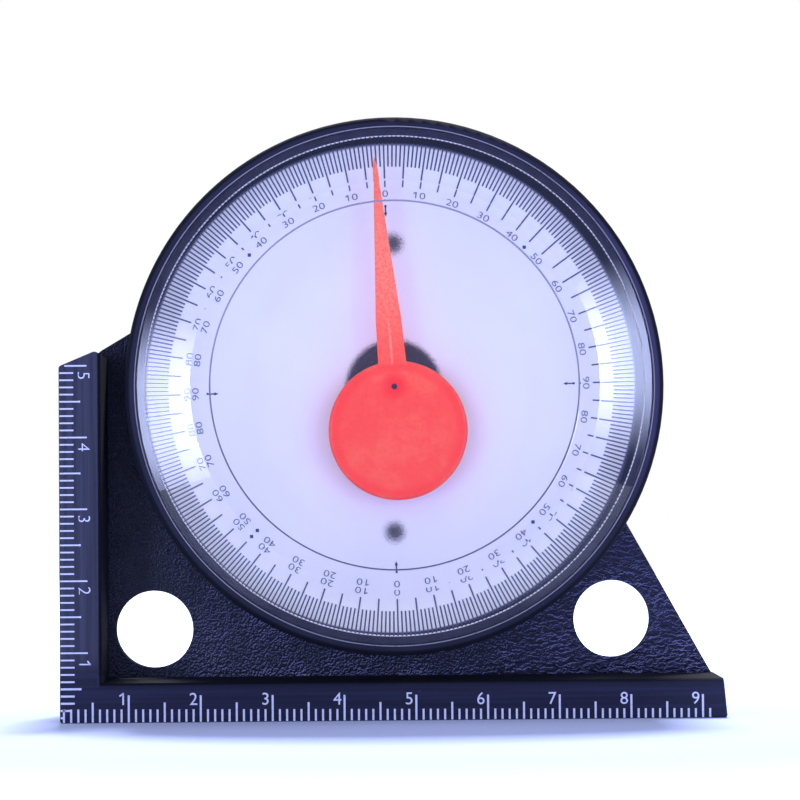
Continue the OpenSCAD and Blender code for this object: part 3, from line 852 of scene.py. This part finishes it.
def join_numbers(name, numbers, slot):
    """Joins separate numbers into one printed piece."""
    deselect_everything()
    for number in numbers:
        number.select_set(True)
    bpy.context.view_layer.objects.active = numbers[0]
    bpy.ops.object.join()
    piece = name_piece(name)
    close_up(piece, 0.0005 * MM)
    finish_piece(piece, "body", slot)


def model_dial_numbers():
    """0 at the top and bottom, 10 to 90 down and up each side, with their tops outwards."""
    radius, height, width_share, thinner = 27.7 * MM, 0.9 * MM, 1.42, 0.012
    numbers = []
    for degree in range(0, 360, 10):
        value = min(degree % 180, 180 - degree % 180)
        turn = math.radians(degree) + DIAL_TURN
        centre = Vector((dial_x - radius * math.sin(turn), dial_low.y - INK_DEPTH / 2,
                         dial_z + radius * math.cos(turn)))
        numbers.append(place_number(str(value), height, width_share, thinner, centre, turn, INK_DEPTH))
    join_numbers("dial_numbers", numbers, "dial_ink")


def model_ruler_numbers():
    """Centimetre numbers beside their lines: upright on the base, turned on the side."""
    height, last_centimetre = 1.68 * MM, 9.1
    left_of_line, below_line = 1.0 * MM, 1.35 * MM
    across_side, above_base, slant = 3.47 * MM, 3.1 * MM, 0.3 * MM
    y = front_y - INK_DEPTH / 2

    numbers = []
    for centimetre in range(1, 10):
        x = base_zero_x + 10 * centimetre * MM - left_of_line
        z = above_base + slant * (1 - 2 * centimetre / last_centimetre)
        centre = Vector((x, y, z))
        numbers.append(place_number(str(centimetre), height, 1.0, 0.0, centre, 0.0, INK_DEPTH))
    join_numbers("base_ruler_numbers", numbers, "ruler_ink")

    quarter = math.radians(-90)
    numbers = []
    for centimetre in range(1, 6):
        centre = Vector((left_x + across_side, y, side_zero_z + 10 * centimetre * MM - below_line))
        numbers.append(place_number(str(centimetre), height, 1.0, 0.012, centre, quarter, INK_DEPTH))
    join_numbers("side_ruler_numbers", numbers, "ruler_ink")


model_lens()
model_lens_bead()
model_window_line()
model_dial_numbers()
model_ruler_numbers()


# ------------------------------------------------------------------ floor, light and camera

WHITE = (1.0, 1.0, 1.0, 1.0)


def model_floor():
    """Pale floor that shows white, with the shadow of the part kept on it."""
    deselect_everything()
    bpy.ops.mesh.primitive_plane_add(size=1.0, location=(0, 0, 0))
    floor = name_piece("floor")
    floor.scale = (1.6, 1.36, 1.0)
    floor.location = (0, 0.52, 0)
    apply_place(floor)
    material, tree, shader = new_material("floor", Base_Color=(0.47, 0.56, 0.95, 1.0), Roughness=0.9,
                                          Specular_IOR_Level=0.0)
    path = add_node(tree, "LightPath")
    seen = calc(tree, "MAXIMUM", path.outputs["Is Camera Ray"],
                calc(tree, "MAXIMUM", path.outputs["Is Glossy Ray"], path.outputs["Is Transmission Ray"]))
    x, y, _ = coordinates(tree)
    plain = step(tree, length(tree, x, y), 90.0, 220.0, 0.0, 0.9)
    glow = add_node(tree, "Emission", {"Color": WHITE, "Strength": times(tree, seen, plain)})
    both = add_node(tree, "AddShader", {0: shader.outputs[0], 1: glow.outputs[0]})
    feed(tree, tree.nodes["Material Output"].inputs["Surface"], both.outputs[0])
    floor.data.materials.append(material)


def light_world():
    """White behind the part, to the camera and in reflections; dim blue reflections in front."""
    world = bpy.data.worlds.new("studio")
    bpy.context.scene.world = world
    world.use_nodes = True
    tree = world.node_tree
    path = add_node(tree, "LightPath")
    direction = add_node(tree, "SeparateXYZ", {"Vector": add_node(tree, "TexCoord").outputs["Generated"]})
    behind = step(tree, direction.outputs["Y"], -0.75, 0.1)
    overhead = step(tree, direction.outputs["Z"], 0.25, 0.6)
    seen = path.outputs["Is Camera Ray"]
    mirrored = calc(tree, "MAXIMUM", path.outputs["Is Glossy Ray"], path.outputs["Is Transmission Ray"])
    mirrored = times(tree, mirrored, calc(tree, "SUBTRACT", 1.0, seen))
    dim_front, dim_ceiling, soft_fill = (0.32, 0.38, 0.85, 1.0), (0.2, 0.25, 0.55, 1.0), (0.7, 0.7, 0.7, 1.0)
    room = mix_colour(tree, behind, dim_front, WHITE)
    room = mix_colour(tree, overhead, room, dim_ceiling)
    light = mix_colour(tree, seen, soft_fill, WHITE)
    feed(tree, tree.nodes["Background"].inputs["Color"], mix_colour(tree, mirrored, light, room))


def add_softbox(name, place, target, width, height, radiance, colour, blur=0.0):
    """A soft panel of light that faces a point, with its radiance at full and blurred ends."""
    lamp = bpy.data.lights.new(name, "AREA")
    lamp.color = colour
    lamp.shape = "RECTANGLE"
    lamp.size = width
    lamp.size_y = height
    lamp.energy = radiance * math.pi * width * height
    panel = bpy.data.objects.new(name, lamp)
    bpy.context.scene.collection.objects.link(panel)
    panel.location = place
    panel.rotation_euler = (Vector(target) - Vector(place)).to_track_quat("-Z", "Y").to_euler()
    if blur:
        lamp.use_nodes = True
        tree = lamp.node_tree
        spot = add_node(tree, "SeparateXYZ", {"Vector": add_node(tree, "NewGeometry").outputs["Parametric"]})
        from_middle = calc(tree, "ABSOLUTE", calc(tree, "SUBTRACT", spot.outputs["Y"], 0.5))
        fade = step(tree, from_middle, 0.5, 0.5 - blur / height)
        feed(tree, tree.nodes["Emission"].inputs["Strength"], fade)


def light_part():
    """Two side panels whose reflections whiten the lens's slope, and a panel high up behind."""
    away, wide, blur, slope_zone = 0.7, 0.09, 0.15, 31.5 * MM
    cool, neutral = (0.55, 0.63, 1.0), (1.0, 0.98, 1.0)
    panels = (("left_panel", -1, 31.6, 29 * MM, 0.38), ("right_panel", 1, 33.8, 119 * MM, 0.36))
    for name, side, turn, height, tall in panels:
        flat = math.radians(turn)
        zone_middle = Vector((axis_x + side * slope_zone, front_y, axis_z))
        place = zone_middle + away * Vector((side * math.sin(flat), -math.cos(flat), 0))
        place.z = height
        add_softbox(name, place, zone_middle, wide, tall, 19.5, cool, blur)
    add_softbox("back_panel", (0.0, 0.33, 0.72), (0, 0, 0), 0.16, 0.16, 125.0, neutral)


def place_camera():
    """Just left of the middle and below the drum's centre, looking slightly up and to the right."""
    lens = bpy.data.cameras.new("camera")
    lens.sensor_width = 36
    lens.lens = 154.5
    lens.clip_start = 0.01
    camera = bpy.data.objects.new("camera", lens)
    bpy.context.scene.collection.objects.link(camera)
    place = Matrix.Translation((-0.009, -0.490, 0.028))
    turns = ((-1.208, "Z"), (90 + 1.991, "X"), (-0.451, "Z"))
    for degrees, axis in turns:
        place = place @ Matrix.Rotation(math.radians(degrees), 4, axis)
    camera.matrix_world = place
    bpy.context.scene.camera = camera


model_floor()
light_world()
light_part()
place_camera()
bpy.context.scene.view_settings.view_transform = "Standard"
